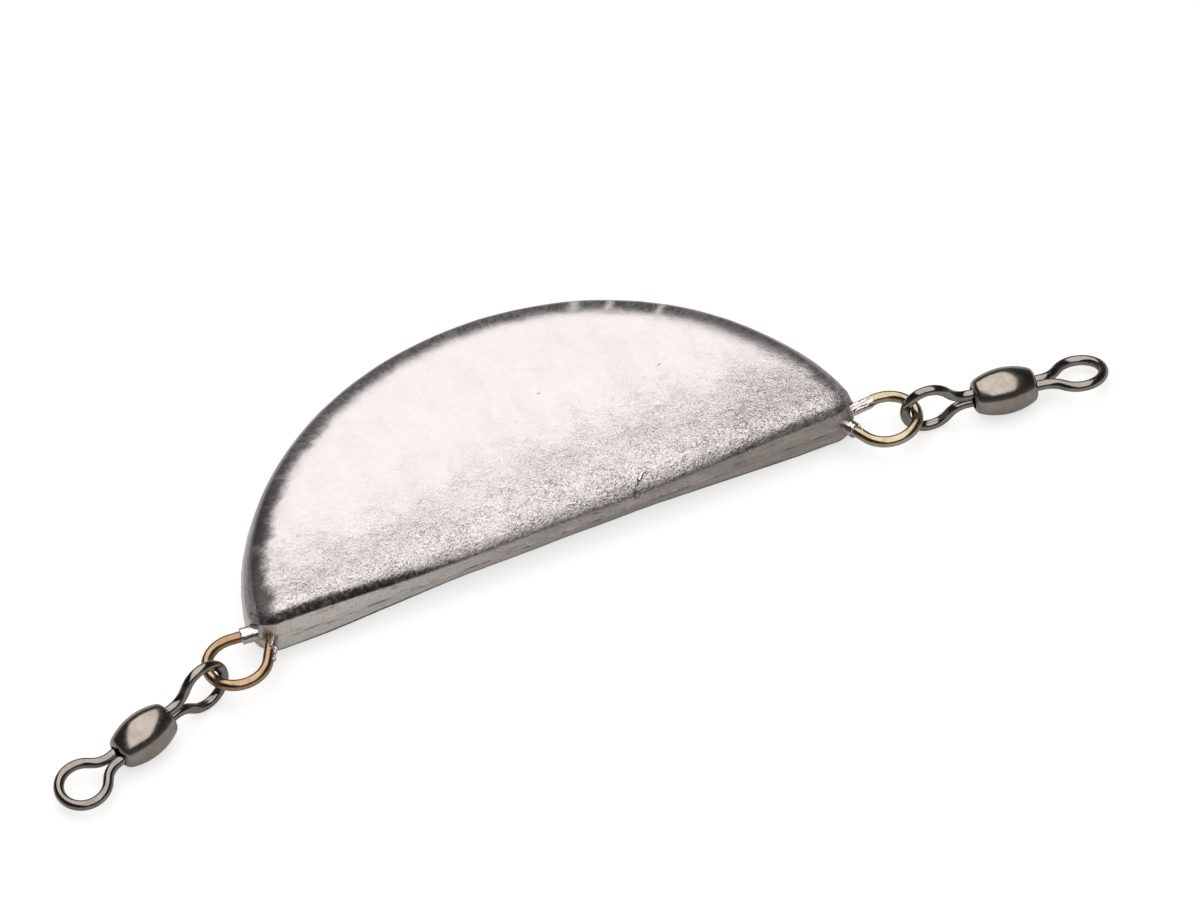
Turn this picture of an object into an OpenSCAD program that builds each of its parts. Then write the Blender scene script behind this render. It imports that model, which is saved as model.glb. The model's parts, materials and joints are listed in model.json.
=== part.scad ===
// Half-moon trolling sinker with a swivel linked to each end.
// A D-shaped lead casting lies flat on one face. A bent wire eye is cast into each
// corner, in the parting plane, and the inner eye of a barrel swivel is threaded
// through it. Each swivel is a hollow barrel with two bent wire eyes, whose legs
// are spread inside the barrel so that both eyes turn but can't pull out.
// Millimetres. Origin on the resting face, halfway between the straight edge and
// the crown of the arc. +X to the right eye, +Y to the arc, +Z up.

/* [Lead casting] */
// Length of the straight edge, measured where the outline would meet it sharp
lead_length = 75; // [72:1:90]
// Height of the D, from the straight edge to the crown of the arc
lead_height = 35; // [30:0.5:36]
// Thickness between the two flat faces
lead_thickness = 7.1; // [6.8:0.1:9]
// Draft of the wall round the arc, from the parting line to the start of the rim
arc_draft = 0.7; // [0.4:0.05:0.85]
// Width of the arc's rounded rim, seen from above
arc_rim_width = 2.2; // [2:0.1:2.3]
// Radius of the arc's rounded rim
arc_rim_radius = 3; // [2.9:0.05:3.6]
// Draft of the wall on the straight edge and round the corners
side_draft = 0.4; // [0.3:0.05:0.6]
// Width of the narrower rim on the straight edge and round the corners
side_rim_width = 1.2; // [1:0.05:1.3]
// Radius of that narrower rim
side_rim_radius = 1.65; // [1.6:0.05:2]
// Slope at which a rim leaves the flat face
rim_slope = 10; // [5:1:14]
// Radius of the two corners of the outline
corner_radius = 3.3; // [3.1:0.1:3.8]

/* [Cast-in wire eyes] */
// Wire diameter of the cast-in eyes
loop_wire_d = 1.3; // [1.1:0.05:1.5]
// Radius of the eye at the middle of its wire
loop_r = 3.5; // [3.3:0.1:4]
// How far the middle of the eye stands out past the skin of the corner
loop_out = 3.87; // [3.65:0.01:4.3]
// How far the shank passes the middle of the corner, on the side of the straight edge
loop_drop = 0.84; // [0.4:0.02:1.2]
// Angle of the eye's shank to the straight edge
loop_lean = 29; // [20:1:35]
// Half angle between the two straight flanks of the eye
loop_flank_angle = 35; // [32:1:40]
// Bend radius at the throat, where the flanks turn into parallel legs
loop_throat_r = 1.5; // [1:0.1:2]
// Length of the parallel legs inside the lead
loop_leg = 3; // [2:0.5:5]
// Bend radius of the anchor hooks inside the lead
loop_hook_r = 1.6; // [1.2:0.1:2]
// Angle through which each anchor hook is bent
loop_hook_angle = 80; // [60:5:90]
// Straight end of an anchor hook
loop_tip = 0.6; // [0.3:0.1:1]
// Gap between the two legs
loop_leg_gap = 0.1; // [0.05:0.05:0.3]

/* [Corner recesses and flash] */
// Depth of the recess round the legs, at the middle of the corner
recess_depth = 1; // [0.7:0.1:1.2]
// Radius of the recess at its mouth
recess_mouth_r = 2.3; // [2.1:0.1:2.6]
// Radius of the recess at its floor
recess_floor_r = 1.7; // [1.5:0.1:1.9]
// Thickness of the ridge that stands in the recess between the legs
ridge_thickness = 0.45; // [0.3:0.05:0.6]
// Wall of the lead sleeves that crept out along the legs
sleeve_wall = 0.22; // [0.15:0.01:0.3]
// Turn of the ring that the left eye's upper sleeve covers past the flank
left_sleeve_turn = 4; // [2:1:20]
// Turn of the ring that the right eye's upper sleeve covers past the flank
right_sleeve_turn = 18; // [2:1:30]
// Length of the right eye's lower sleeve, from the throat
lower_sleeve = 2.6; // [2:0.1:3]
// Gap between the cast lead and the wire it holds
cast_gap = 0.01; // [0.01:0.005:0.03]

/* [Swivel barrel] */
// Outer radius of the barrel at its middle
barrel_r = 2.7; // [2.6:0.05:2.9]
// Length of the barrel
barrel_length = 7.4; // [7:0.1:9]
// Radius of the rounded shoulders
shoulder_r = 1.2; // [1.05:0.05:1.3]
// Radius of the flat land round each end hole
land_r = 1.15; // [1:0.05:1.25]
// Wall of the barrel
barrel_wall = 0.5; // [0.4:0.05:0.55]
// Running clearance between the legs and the end hole
bore_gap = 0.06; // [0.03:0.01:0.09]

/* [Swivel eyes] */
// Wire diameter of the swivel eyes
eye_wire_d = 1.2; // [1.1:0.02:1.24]
// Radius of an eye at the middle of its wire
eye_r = 2.8; // [2.7:0.05:3.2]
// Distance from the middle of the barrel to the middle of an eye
eye_reach = 8.9; // [8.8:0.1:10]
// Half angle between the flanks of an eye
eye_flank_angle = 60; // [54:1:62]
// Bend radius at the throat of an eye
eye_throat_r = 1.05; // [0.9:0.05:1.3]
// Gap between the two legs of an eye
eye_leg_gap = 0.02; // [0.01:0.01:0.04]
// Bend radius where a leg is spread inside the barrel
spread_r = 1; // [0.9:0.05:1.1]
// Angle by which each leg is spread
spread_angle = 55; // [50:1:58]
// Straight end of a spread leg
spread_tip = 0.5; // [0.3:0.05:0.55]

/* [How the swivels lie] */
// Gap between the inner eye and the cast-in eye at the link
link_gap = 0.15; // [0.1:0.01:0.25]
// Height of the barrel's underside above the floor, before its small tilt
floor_gap = 0.06; // [0.05:0.01:0.12]
// Swing of the left swivel towards the straight edge, seen from above
left_turn = 20; // [0:1:25]
// Swing of the right swivel towards the straight edge, seen from above
right_turn = 6; // [0:1:25]
// Roll of the left swivel's outer eye from flat
left_roll = -6; // [-20:1:20]
// Roll of the right swivel's outer eye from flat
right_roll = -14; // [-20:1:20]

/* [Hidden] */
$fn = 64;

// Overrun of a cut past the face that it leaves by
overrun = 0.5;
// How far a corner's circle stands out past the two sides, so that it crosses them
corner_bite = 0.04;
// Length of the thin collar that welds two pieces of wire, and how far it stands proud
weld_length = 0.04;
weld_swell = 0.004;

// Outline of the casting
half_length = lead_length / 2;
chord_y = -lead_height / 2;
arc_r = (pow(half_length, 2) + pow(lead_height, 2)) / (2 * lead_height);
arc_y = chord_y + lead_height - arc_r;
corner_inset = corner_radius - corner_bite;
corner_y = chord_y + corner_inset;
corner_x = sqrt(pow(arc_r - corner_inset, 2) - pow(corner_y - arc_y, 2));
corner_angle = atan2(corner_y - arc_y, corner_x);
parting_z = lead_thickness / 2;
// Straight steps that make up a rim's curve
rim_steps = 8;

// Cast-in eyes, set out from the middle of the corner along the shank and across it
loop_along = sqrt(pow(corner_radius, 2) - pow(loop_drop, 2)) + loop_out;
loop_x = corner_x + loop_along * cos(loop_lean) - loop_drop * sin(loop_lean);
loop_y = corner_y - loop_along * sin(loop_lean) - loop_drop * cos(loop_lean);
loop_leg_y = (loop_wire_d + loop_leg_gap) / 2;
loop_flank = flank_run(loop_r, loop_flank_angle, loop_throat_r, loop_leg_y);

// The recess's floor and the roots of the sleeves, which end inside the lead behind it
recess_x = loop_out + recess_depth;
flank_end_x = loop_r * sin(loop_flank_angle) + loop_flank * cos(loop_flank_angle);
sleeve_root = (recess_x + recess_depth / 2 - flank_end_x) / cos(loop_flank_angle);

// Swivel eyes
eye_leg_y = (eye_wire_d + eye_leg_gap) / 2;
half_barrel = barrel_length / 2;
bore_r = eye_leg_y + eye_wire_d / 2 + bore_gap;
eye_throat_x = throat_x(eye_r, eye_flank_angle, eye_throat_r, eye_leg_y);
eye_leg = eye_reach - eye_throat_x - half_barrel + barrel_wall;

// The barrel's long side is one arc, tangent to both rounded shoulders
shoulder_step = barrel_r - land_r;
shoulder_z = half_barrel - shoulder_r;
side_r = (pow(shoulder_step, 2) + pow(shoulder_z, 2) - pow(shoulder_r, 2))
    / (2 * (shoulder_step - shoulder_r));

// The swivel's axis runs from the link down to where the barrel lies on the floor
link_reach = eye_reach + eye_r - (eye_wire_d + loop_wire_d) / 2 - link_gap;
tilt = asin((parting_z - barrel_r - floor_gap) / link_reach);

// Straight flank between the ring and the throat bend of a bent eye
function flank_run(ring_r, half_angle, throat_r, leg_y) =
    (ring_r * cos(half_angle) - leg_y - throat_r * (1 - cos(half_angle))) / sin(half_angle);
// Place along the shank where the throat bend ends and the legs run parallel
function throat_x(ring_r, half_angle, throat_r, leg_y) =
    (ring_r + throat_r) * sin(half_angle)
    + flank_run(ring_r, half_angle, throat_r, leg_y) * cos(half_angle);

// A thin collar that welds two pieces of wire where they meet
module wire_joint()
    rotate([0, 90, 0]) cylinder(d = $wire_d + 2 * weld_swell, h = weld_length, center = true);

// A straight piece of round wire along +X. What follows starts at its end.
module straight(length) {
    rotate([0, 90, 0]) cylinder(d = $wire_d, h = length);
    translate([length, 0, 0]) {
        if ($children > 0) wire_joint();
        children();
    }
}

// A bend in round wire that starts along +X and turns left. What follows starts at its end.
module bend_left(bend_r, angle) {
    translate([0, bend_r, 0]) rotate([0, 0, -90])
        rotate_extrude(angle = angle) translate([bend_r, 0]) circle(d = $wire_d);
    translate([0, bend_r, 0]) rotate([0, 0, angle]) translate([0, -bend_r, 0]) {
        wire_joint();
        children();
    }
}

// The same bend to the right
module bend_right(bend_r, angle)
    mirror([0, 1, 0]) bend_left(bend_r, angle) mirror([0, 1, 0]) children();

// A round eye bent from one wire: ring, flanks, throat, parallel legs and spread ends.
// The ring's middle is the origin, the shank points along +X, all in the XY plane.
module bent_eye(wire_d, ring_r, half_angle, throat_r, leg_y, leg, end_r, end_angle, end_run) {
    $wire_d = wire_d;
    flank = flank_run(ring_r, half_angle, throat_r, leg_y);
    for (side = [0, 1]) mirror([0, side, 0])
        translate([-ring_r, 0, 0]) rotate([0, 0, 90]) {
            wire_joint();
            bend_right(ring_r, 90 + half_angle)
                straight(flank) bend_left(throat_r, half_angle)
                    straight(leg) bend_left(end_r, end_angle) straight(end_run);
        }
}

// Section of the casting from an axis at x = 0 out to the parting line at x = reach.
// The rim's curve is stepped finely, so that its turns stay simple cones.
module rim_section(reach, draft, width, radius) {
    curve_x = reach - draft - width - radius * sin(rim_slope);
    curve_z = lead_thickness - radius * cos(rim_slope);
    end_slope = asin(width / radius + sin(rim_slope));
    rim = [for (step = [0 : rim_steps])
        let (slope = rim_slope + (end_slope - rim_slope) * step / rim_steps)
        [curve_x + radius * sin(slope), curve_z + radius * cos(slope)]];
    underside = [for (step = [rim_steps : -1 : 0]) [rim[step][0], lead_thickness - rim[step][1]]];
    polygon(concat([[0, lead_thickness]], rim, [[reach, parting_z]], underside, [[0, 0]]));
}

// The narrower section of the straight edge and the corners
module side_section(reach) rim_section(reach, side_draft, side_rim_width, side_rim_radius);

// The D-shaped casting before the wires
module half_moon() {
    bar_reach = lead_height + overrun;
    difference() {
        intersection() {
            translate([0, arc_y, 0]) rotate_extrude($fn = 256)
                rim_section(arc_r, arc_draft, arc_rim_width, arc_rim_radius);
            translate([0, chord_y + bar_reach, 0]) rotate([90, 0, -90])
                linear_extrude(lead_length, center = true) side_section(bar_reach);
        }
        for (side = [0, 1]) mirror([side, 0, 0]) corner_waste();
    }
}

// What rounding takes off the right corner
module corner_waste()
    translate([corner_x, corner_y, 0]) difference() {
        translate([0, 0, -overrun]) rotate([0, 0, -90]) rotate_extrude(angle = 90 + corner_angle)
            square([2 * corner_radius, lead_thickness + 2 * overrun]);
        rotate_extrude() side_section(corner_radius);
    }

// Moves a shape in the right cast-in eye's own frame to its place
module at_right_loop()
    translate([loop_x, loop_y, parting_z]) rotate([0, 0, 180 - loop_lean]) children();

// Wire of the right cast-in eye, and with a gap the space that it needs in the lead
module loop_wire(gap = 0)
    at_right_loop()
        bent_eye(loop_wire_d + 2 * gap, loop_r, loop_flank_angle, loop_throat_r, loop_leg_y,
                 loop_leg, loop_hook_r, loop_hook_angle, loop_tip + gap);

// Recess in the right corner round the legs, with a ridge left standing between them
module corner_recess() {
    flare = recess_mouth_r - recess_floor_r;
    at_right_loop() translate([recess_x, 0, 0]) difference() {
        rotate([0, -90, 0])
            cylinder(r1 = recess_floor_r, r2 = recess_floor_r + 2 * flare, h = 2 * recess_depth);
        translate([-2 * recess_depth - overrun, -ridge_thickness / 2, -lead_thickness])
            cube([2 * recess_depth + 2 * overrun, ridge_thickness, 2 * lead_thickness]);
    }
}

// Lead sleeve on the +Y leg of an eye: a root in the lead, some of its flank, then a turn of its ring
module sleeve(run, turn) {
    $wire_d = loop_wire_d + 2 * sleeve_wall;
    translate([loop_r * sin(loop_flank_angle), loop_r * cos(loop_flank_angle), 0])
        rotate([0, 0, -loop_flank_angle]) {
            translate([loop_flank - run, 0, 0]) straight(run + sleeve_root);
            if (turn > 0) {
                wire_joint();
                mirror([1, 0, 0]) bend_right(loop_r, turn);
            }
        }
}

// The sleeves of the right eye
module sleeves(upper_turn, lower_run) {
    at_right_loop() {
        mirror([0, 1, 0]) sleeve(loop_flank, upper_turn);
        if (lower_run > 0) sleeve(lower_run, 0);
    }
}

module lead_body() color("gainsboro") difference() {
    union() {
        difference() {
            half_moon();
            for (side = [0, 1]) mirror([side, 0, 0]) corner_recess();
        }
        sleeves(right_sleeve_turn, lower_sleeve);
        mirror([1, 0, 0]) sleeves(left_sleeve_turn, 0);
    }
    for (side = [0, 1]) mirror([side, 0, 0]) loop_wire(cast_gap);
}

module right_cast_eye() color("peru") loop_wire();
module left_cast_eye() color("peru") mirror([1, 0, 0]) loop_wire();

// Half section of the barrel, shrunk all round by inset, with its axis along Y
module barrel_section(inset) {
    side_x = barrel_r - side_r;
    wedge = [side_x + (side_r - shoulder_step) * 2, shoulder_z * 2];
    intersection() {
        translate([0, -half_barrel]) square([barrel_r, barrel_length]);
        union() {
            translate([0, inset - half_barrel]) square([land_r, barrel_length - 2 * inset]);
            intersection() {
                translate([side_x, 0]) circle(r = side_r - inset, $fn = 256);
                polygon([[side_x, 0], wedge, [wedge[0], -wedge[1]]]);
            }
            for (side = [-1, 1]) translate([land_r, side * shoulder_z])
                circle(r = shoulder_r - inset);
        }
    }
}

module barrel() color("dimgray") rotate([0, 90, 0]) difference() {
    rotate_extrude() barrel_section(0);
    rotate_extrude() barrel_section(barrel_wall);
    cylinder(r = bore_r, h = barrel_length + 2 * overrun, center = true);
}

// Swivel eye on the -X side of the barrel's middle, its shank pointing into the barrel
module swivel_eye() color("darkslategray")
    translate([-eye_reach, 0, 0])
        bent_eye(eye_wire_d, eye_r, eye_flank_angle, eye_throat_r, eye_leg_y,
                 eye_leg, spread_r, spread_angle, spread_tip);

// Moves a swivel, barrel's middle at the origin and outer end along +X, to its place
module at_swivel(side, turn)
    translate([side * loop_x, loop_y, parting_z])
        rotate([0, 0, side > 0 ? -turn : 180 + turn])
            translate([loop_r, 0, 0]) rotate([0, tilt, 0])
                translate([link_reach, 0, 0]) children();

module left_inner_eye() at_swivel(-1, left_turn) rotate([90, 0, 0]) swivel_eye();
module left_barrel() at_swivel(-1, left_turn) barrel();
module left_outer_eye() at_swivel(-1, left_turn)
    rotate([left_roll, 0, 0]) rotate([0, 0, 180]) swivel_eye();
module right_inner_eye() at_swivel(1, right_turn) rotate([90, 0, 0]) swivel_eye();
module right_barrel() at_swivel(1, right_turn) barrel();
module right_outer_eye() at_swivel(1, right_turn)
    rotate([right_roll, 0, 0]) rotate([0, 0, 180]) swivel_eye();

lead_body();
left_cast_eye();
right_cast_eye();
left_inner_eye();
left_barrel();
left_outer_eye();
right_inner_eye();
right_barrel();
right_outer_eye();
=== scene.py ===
# Looks, light and camera of a half-moon trolling sinker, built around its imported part.
# Lengths in the dictionaries are millimetres and angles are degrees.
import json
from math import asin, atan2, cos, degrees, pi, radians, sin, sqrt, tau
from types import SimpleNamespace

import bmesh
import bpy
from mathutils import Matrix, Vector, noise


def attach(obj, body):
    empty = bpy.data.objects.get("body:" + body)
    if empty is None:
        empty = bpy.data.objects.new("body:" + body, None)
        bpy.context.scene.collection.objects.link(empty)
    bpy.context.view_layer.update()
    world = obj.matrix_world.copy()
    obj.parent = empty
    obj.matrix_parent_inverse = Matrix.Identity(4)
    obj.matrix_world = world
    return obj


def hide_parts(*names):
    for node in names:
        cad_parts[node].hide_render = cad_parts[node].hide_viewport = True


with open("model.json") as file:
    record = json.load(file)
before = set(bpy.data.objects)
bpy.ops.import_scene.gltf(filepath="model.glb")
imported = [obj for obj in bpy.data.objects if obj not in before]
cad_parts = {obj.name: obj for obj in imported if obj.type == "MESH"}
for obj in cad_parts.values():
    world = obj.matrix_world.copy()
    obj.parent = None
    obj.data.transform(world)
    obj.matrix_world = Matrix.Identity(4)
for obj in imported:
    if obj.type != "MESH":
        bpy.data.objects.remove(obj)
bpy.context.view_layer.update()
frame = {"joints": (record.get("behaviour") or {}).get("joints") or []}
mm = 0.001
joints = {joint["name"]: joint for joint in frame["joints"]}
print("sinker: frame loaded")


# Small helpers for node trees and meshes

def newObject(name, data):
    thing = bpy.data.objects.new(name, data)
    bpy.context.scene.collection.objects.link(thing)
    return thing


def rotation(angle, axis):
    return Matrix.Rotation(radians(angle), 4, axis)


def isSocket(value):
    return isinstance(value, bpy.types.NodeSocket)


def feed(node, sockets):
    # Sets a node's inputs; a value that is a socket of another node is linked
    for key, value in sockets.items():
        if isSocket(value):
            node.id_data.links.new(value, node.inputs[key])
        else:
            node.inputs[key].default_value = value


def put(tree, kind, sockets=None, **settings):
    node = tree.nodes.new(kind)
    for name, value in settings.items():
        setattr(node, name, value)
    feed(node, sockets or {})
    return node


def results(kind, sockets, **settings):
    # The outputs of a new node, in the tree of the first socket that feeds it
    tree = next(value.id_data for value in sockets.values() if isSocket(value))
    return put(tree, kind, sockets, **settings).outputs


def get(kind, sockets, **settings):
    return results(kind, sockets, **settings)[0]


def split(vector):
    return results("ShaderNodeSeparateXYZ", {0: vector})


def joined(*parts):
    return get("ShaderNodeCombineXYZ", dict(enumerate(parts)))


def calc(operation, *terms):
    return get("ShaderNodeMath", dict(enumerate(terms)), operation=operation)


def plus(first, second):
    return calc("ADD", first, second)


def minus(first, second):
    return calc("SUBTRACT", first, second)


def times(first, second):
    return calc("MULTIPLY", first, second)


def onVectors(operation, *vectors, result=0):
    return results("ShaderNodeVectorMath", dict(enumerate(vectors)), operation=operation)[result]


def scaled(vector, size):
    return get("ShaderNodeVectorMath", {0: vector, "Scale": size}, operation="SCALE")


def ease(value, start, end, low=0.0, high=1.0):
    # Smooth step from low to high as value goes from start to end
    sockets = {0: value, 1: start, 2: end, 3: low, 4: high}
    return get("ShaderNodeMapRange", sockets, interpolation_type="SMOOTHSTEP")


def grain(place, size, detail=2.0, roughness=0.5):
    # Noise whose lumps are about size millimetres wide
    sockets = {"Vector": place, "Scale": 1.0 / (size * mm), "Detail": detail, "Roughness": roughness}
    return get("ShaderNodeTexNoise", sockets)


def tint(share, first, second):
    # Colour that goes from first to second as share goes from 0 to 1
    return results("ShaderNodeMix", {0: share, 6: first, 7: second}, data_type="RGBA")[2]


def emptyTree(holder):
    holder.use_nodes = True
    holder.node_tree.nodes.clear()
    return holder.node_tree


def newMaterial(name):
    material = bpy.data.materials.new(name)
    tree = emptyTree(material)
    shader = put(tree, "ShaderNodeBsdfPrincipled")
    put(tree, "ShaderNodeOutputMaterial", {"Surface": shader.outputs[0]})
    return material, tree, shader


def newGeometryTree(name, sizes):
    # A geometry tree with named inputs; sizes gives each input's value, and a whole number makes a whole input
    tree = bpy.data.node_groups.new(name, "GeometryNodeTree")
    for way in ("INPUT", "OUTPUT"):
        tree.interface.new_socket("Geometry", in_out=way, socket_type="NodeSocketGeometry")
    for label, value in sizes.items():
        kind = "NodeSocketInt" if isinstance(value, int) else "NodeSocketFloat"
        socket = tree.interface.new_socket(label, in_out="INPUT", socket_type=kind)
        socket.default_value = value
    return tree, put(tree, "NodeGroupInput").outputs, put(tree, "NodeGroupOutput").inputs


def pushedOut(geometry, distance):
    # Moves a skin along its normals; a distance below nothing goes inwards
    normal = put(geometry.id_data, "GeometryNodeInputNormal").outputs[0]
    return get("GeometryNodeSetPosition", {"Geometry": geometry, "Offset": scaled(normal, distance)})


def circle(sides, radius):
    return get("GeometryNodeCurvePrimitiveCircle", {"Resolution": sides, "Radius": radius})


def alongPath(path, profile, **more):
    return get("GeometryNodeCurveToMesh", {"Curve": path, "Profile Curve": profile, "Fill Caps": True, **more})


def finishTree(geometry, end, material):
    real = get("GeometryNodeRealizeInstances", {"Geometry": geometry})
    dressed = get("GeometryNodeSetMaterial", {"Geometry": real, "Material": material})
    dressed.id_data.links.new(dressed, end["Geometry"])


def shapeWith(source, tree, name, values=None):
    # Runs a geometry tree on source and returns the result as a plain mesh object
    modifier = source.modifiers.new("shape", "NODES")
    modifier.node_group = tree
    identifiers = {item.name: item.identifier for item in tree.interface.items_tree
                   if item.item_type == "SOCKET" and item.in_out == "INPUT"}
    for label, value in (values or {}).items():
        modifier[identifiers[label]] = value
    return bakedMesh(source, name)


def bakedMesh(source, name):
    bpy.context.view_layer.update()
    graph = bpy.context.evaluated_depsgraph_get()
    mesh = bpy.data.meshes.new_from_object(source.evaluated_get(graph))
    mesh.name = name
    bpy.data.objects.remove(source)
    return newObject(name, mesh)


def meshObject(name, points, faces):
    mesh = bpy.data.meshes.new(name)
    mesh.from_pydata([tuple(point) for point in points], [], faces)
    return newObject(name, mesh)


def pathObject(name, points, cyclic=False):
    # A straight-sided curve through points, in metres
    curve = bpy.data.curves.new(name, "CURVE")
    curve.dimensions = "3D"
    spline = curve.splines.new("POLY")
    spline.points.add(len(points) - 1)
    for place, point in zip(spline.points, points):
        place.co = (*point, 1.0)
    spline.use_cyclic_u = cyclic
    return newObject(name, curve)


mergeReach, sharpAngle = 0.0005, 40.0


def tidyMesh(piece):
    # Merges doubles, turns the faces outwards and smooths all but the sharp edges
    mesh = piece.data
    work = bmesh.new()
    work.from_mesh(mesh)
    bmesh.ops.remove_doubles(work, verts=work.verts, dist=mergeReach * mm)
    bmesh.ops.dissolve_degenerate(work, edges=work.edges, dist=mergeReach * mm)
    bmesh.ops.recalc_face_normals(work, faces=work.faces)
    work.to_mesh(mesh)
    work.free()
    mesh.polygons.foreach_set("use_smooth", [True] * len(mesh.polygons))
    mesh.set_sharp_from_angle(angle=radians(sharpAngle))


# Camera

view = {"aim": (9.22287, -4.21, 0.0), "azimuth": -12.6526, "elevation": 46.9926, "roll": 11.0863,
        "distance": 949.2589, "lens": 248.6387, "sensor": 36.0, "clip": (10.0, 20000.0)}


def addCamera():
    azimuth, elevation, roll = (radians(view[key]) for key in ("azimuth", "elevation", "roll"))
    back = Vector((sin(azimuth) * cos(elevation), -cos(azimuth) * cos(elevation),
                   sin(elevation)))
    level = Vector((cos(azimuth), sin(azimuth), 0.0))
    upright = back.cross(level)
    right = level * cos(roll) - upright * sin(roll)
    up = upright * cos(roll) + level * sin(roll)
    data = bpy.data.cameras.new("camera")
    data.lens = view["lens"]
    data.sensor_width = view["sensor"]
    data.clip_start, data.clip_end = [reach * mm for reach in view["clip"]]
    camera = newObject("camera", data)
    camera.matrix_world = Matrix.Translation((Vector(view["aim"]) + back * view["distance"]) * mm) @ Matrix(
        (right, up, back)).transposed().to_4x4()
    bpy.context.scene.camera = camera


addCamera()
print("sinker: camera placed")


# Floor, world and lamps

stage = {"floorSize": 6000.0, "floorColour": 0.5, "floorGlow": 0.67, "glossyShare": 0.2,
         "horizon": 0.1, "zenith": 0.03, "domeHeights": (0.05, 0.6), "evenLight": 0.12}
overheadBox = {"height": 620.0, "width": 760.0, "depth": 2000.0, "shift": (60.0, 110.0), "glow": 1.58,
               "warmth": (1.0, 0.975, 0.95)}


def addFloor():
    half = stage["floorSize"] / 2 * mm
    floor = meshObject("floor", [(-half, -half, 0), (half, -half, 0), (half, half, 0), (-half, half, 0)],
                       [(0, 1, 2, 3)])
    material = bpy.data.materials.new("paperFloor")
    tree = emptyTree(material)
    path = put(tree, "ShaderNodeLightPath")
    shiny = calc("MAXIMUM", path.outputs["Is Glossy Ray"], path.outputs["Is Transmission Ray"])
    mirrored = times(shiny, stage["glossyShare"])
    seen = calc("MAXIMUM", path.outputs["Is Camera Ray"], mirrored)
    paper = put(tree, "ShaderNodeBsdfDiffuse", {"Color": (*[stage["floorColour"]] * 3, 1.0)})
    glow = put(tree, "ShaderNodeEmission", {"Strength": times(seen, stage["floorGlow"])})
    both = put(tree, "ShaderNodeAddShader", {0: paper.outputs[0], 1: glow.outputs[0]})
    put(tree, "ShaderNodeOutputMaterial", {"Surface": both.outputs[0]})
    floor.data.materials.append(material)


def addWorld():
    # Dim for reflections, even for matt surfaces; the camera itself sees plain white
    world = bpy.data.worlds.new("studio")
    bpy.context.scene.world = world
    tree = emptyTree(world)
    place = put(tree, "ShaderNodeTexCoord").outputs["Generated"]
    height = split(place)[2]
    dome = ease(height, *stage["domeHeights"], stage["horizon"], stage["zenith"])
    path = put(tree, "ShaderNodeLightPath")
    even = times(path.outputs["Is Diffuse Ray"], stage["evenLight"] - stage["zenith"])
    lit = calc("MAXIMUM", dome, plus(even, stage["zenith"]))
    strength = calc("MAXIMUM", lit, path.outputs["Is Camera Ray"])
    back = put(tree, "ShaderNodeBackground", {"Color": (1.0, 1.0, 1.0, 1.0), "Strength": strength})
    put(tree, "ShaderNodeOutputWorld", {"Surface": back.outputs[0]})


def addSoftbox():
    # A softbox that lies flat above the casting and shines down
    lamp = bpy.data.lights.new("overheadBox", "AREA")
    lamp.shape = "RECTANGLE"
    lamp.size = overheadBox["width"] * mm
    lamp.size_y = overheadBox["depth"] * mm
    lamp.energy = overheadBox["glow"] * pi * lamp.size * lamp.size_y
    lamp.color = overheadBox["warmth"]
    holder = newObject("overheadBox", lamp)
    holder.matrix_world = Matrix.Translation(Vector((*overheadBox["shift"], overheadBox["height"])) * mm)


addFloor()
addWorld()
addSoftbox()
bpy.context.scene.view_settings.view_transform = "Standard"
print("sinker: stage and lamps set")


# Lead casting

casting = {"length": 75.0, "height": 35.0, "thickness": 7.1, "cornerRadius": 3.3,
           "columns": 340, "cornerColumns": 22, "faceRows": 76, "backRows": 22, "bendRows": (5, 6, 8),
           "wallShares": (0.0, 0.02, 0.045, 0.08, 0.14, 0.3, 0.5, 0.7, 0.87)}
# Each rim: draft of the wall, then how wide the face bends from level to each of the three slopes
bendSlopes = (8.0, 25.0, 64.0)
arcRim = {"draft": 0.7, "level": 1.3, "shoulder": 2.3, "edge": 1.0}
cornerRim = {"draft": 0.4, "level": 0.6, "shoulder": 0.7, "edge": 1.2}
middleRim = {"draft": 0.4, "level": 3.0, "shoulder": 2.2, "edge": 1.6}
# Where the straight side's wide middle rim begins and is full, from -1 to 1
middleRun = {"right": (0.95, 0.25), "left": (-0.9, -0.3)}
# How much of the arc's rim there is beside a corner, and how far along the arc it is full
arcStart = {"share": 0.1, "reach": 0.13}
# The skin's noises: detail, and the start and end of its ease
skinWaves = {"Sink": (1.0, 0.3, 0.7), "Lump": (2.0, 0.25, 0.75), "Pit": (2.0, 0.68, 0.78)}
skin = {"Sink Depth": 0.05 * mm, "Sink Size": 9.0 * mm, "Lump Depth": 0.022 * mm, "Lump Size": 1.6 * mm,
        "Pit Depth": 0.02 * mm, "Pit Size": 1.1 * mm, "Seam Depth": 0.05 * mm, "Seam Reach": 0.1 * mm,
        "Seam Step": 0.06 * mm}
recess = {"sides": 96, "depth": 1.0, "mouth": 2.3, "floor": 1.7, "ridge": 0.45, "rightFill": 0.5}
# Nicks: place on the casting, half sizes and turn about z
nicks = {"edgeNick": ((9.55, -16.95), (0.55, 0.4, 0.5), 35.0), "edgePit": ((23.5, -17.0), (0.42, 0.32, 0.4), 10.0),
         "facePit": ((4.6, 0.9), (0.16, 0.14, 0.1), 0.0), "faceDash": ((18.6, -1.4), (0.3, 0.09, 0.1), 20.0),
         "lowPit": ((11.9, -4.0), (0.14, 0.12, 0.08), 0.0)}
nickShape = {"fineness": 3, "scale": 1.7, "seed": 7.0, "uneven": 0.35}
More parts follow.
